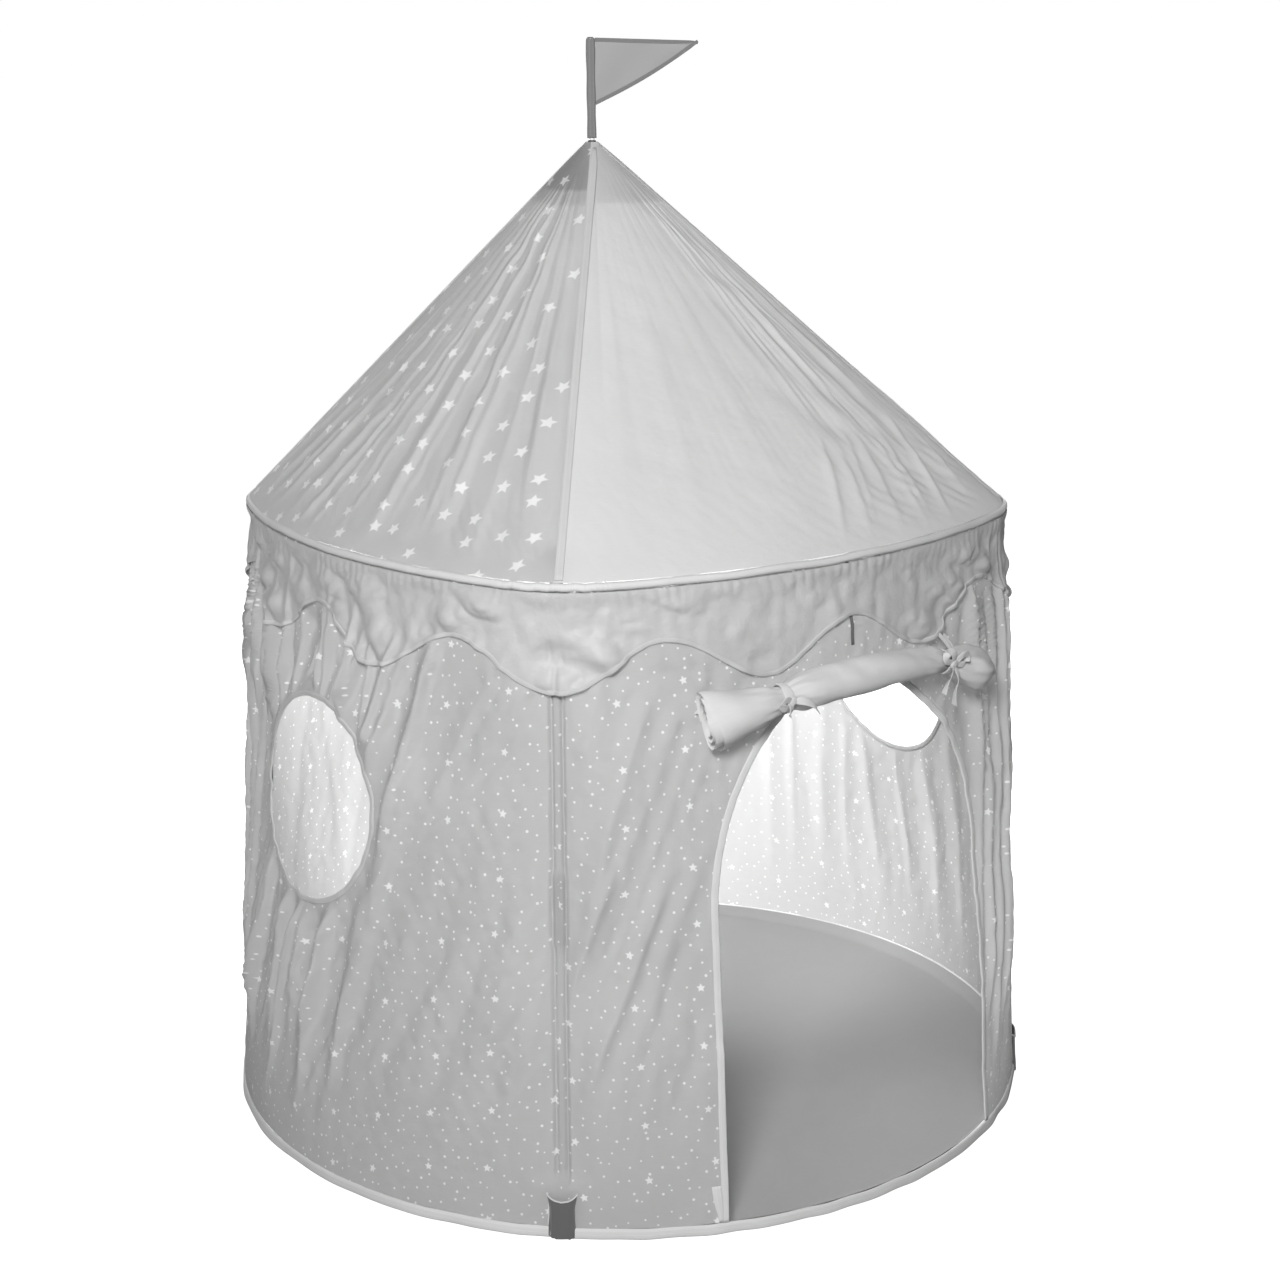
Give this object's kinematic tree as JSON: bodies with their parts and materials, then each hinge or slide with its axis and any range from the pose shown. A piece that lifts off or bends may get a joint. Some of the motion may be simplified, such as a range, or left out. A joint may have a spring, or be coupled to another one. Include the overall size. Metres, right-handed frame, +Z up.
{
  "type": "play tent",
  "caption": "Round children's play tent with a cone roof, scalloped valance, arched doorway with rolled door cloth, round side windows, push-together pole frame and pennant.",
  "frame": {"origin": "centre of the floor sheet's underside, where the tent rests", "axes": "+Z up, the doorway faces -Y, the side windows face -X and +X"},
  "size_m": [1.0399, 1.04, 1.338],
  "materials": {
    "wall_cloth": "thin woven cloth with a small white print",
    "roof_star_cloth": "thin woven cloth with white stars",
    "roof_plain_cloth": "thin plain woven cloth",
    "valance_cloth": "thin satin-like cloth",
    "binding_tape": "folded cotton tape",
    "lining_cloth": "woven lining",
    "floor_cloth": "plain woven groundsheet",
    "pocket_cloth": "dark woven webbing",
    "door_cloth": "thin plain woven cloth",
    "hanger_tape": "narrow dark tape",
    "flag_cloth": "plain woven cloth",
    "flag_tape": "folded tape",
    "tube": "drawn resin tube",
    "joiner": "moulded plastic sleeve",
    "connector": "moulded plastic",
    "spring_steel": "coated spring wire"
  },
  "bodies": {
    "root": {"floor_sheet": "floor_cloth", "base_hem": "binding_tape", "door_binding": "binding_tape", "window_binding_left": "binding_tape", "window_binding_right": "binding_tape", "valance_binding": "binding_tape", "eave_piping": "binding_tape", "wall_front": "wall_cloth", "wall_right": "wall_cloth", "wall_back": "wall_cloth", "wall_left": "wall_cloth", "valance": "valance_cloth", "roof_panel_front": "roof_plain_cloth", "roof_panel_back": "roof_plain_cloth", "roof_panel_left": "roof_star_cloth", "roof_panel_right": "roof_star_cloth", "apex_lining": "lining_cloth", "eave_hoop_front": "spring_steel", "eave_hoop_back": "spring_steel", "leg_lower_front_left": "tube", "leg_upper_front_left": "tube", "roof_pole_lower_front_left": "tube", "roof_pole_upper_front_left": "tube", "eave_elbow_front_left": "connector", "foot_pocket_front_left": "pocket_cloth", "leg_lower_front_right": "tube", "leg_upper_front_right": "tube", "roof_pole_lower_front_right": "tube", "roof_pole_upper_front_right": "tube", "eave_elbow_front_right": "connector", "foot_pocket_front_right": "pocket_cloth", "leg_lower_back_right": "tube", "leg_upper_back_right": "tube", "roof_pole_lower_back_right": "tube", "roof_pole_upper_back_right": "tube", "eave_elbow_back_right": "connector", "foot_pocket_back_right": "pocket_cloth", "leg_lower_back_left": "tube", "leg_upper_back_left": "tube", "roof_pole_lower_back_left": "tube", "roof_pole_upper_back_left": "tube", "eave_elbow_back_left": "connector", "foot_pocket_back_left": "pocket_cloth", "leg_joiners": "joiner", "roof_pole_joiners": "joiner", "foot_caps": "connector", "apex_hub": "connector", "door_hanger": "hanger_tape"},
    "door": {"door_roll": "door_cloth", "door_tie_left": "door_cloth", "door_tie_right": "door_cloth"},
    "flag_stick": {"flag_stick": "tube"},
    "flag": {"flag_sleeve": "flag_tape", "flag_binding": "flag_tape", "flag_pennant": "flag_cloth"}
  },
  "joints": [
    {"name": "door_unroll", "type": "slide", "parent": "root", "child": "door", "axis": [0, -0.1095, -0.994], "range_m": [0, 0.555]},
    {"name": "flag_lift", "type": "slide", "parent": "root", "child": "flag_stick", "axis": [0, 0, 1], "range_m": [0, 0.035]},
    {"name": "flag_swivel", "type": "hinge", "parent": "flag_stick", "child": "flag", "pos_m": [-0.0236, 0.0175, 1.28], "axis": [0, 0, 1], "continuous": true}
  ]
}
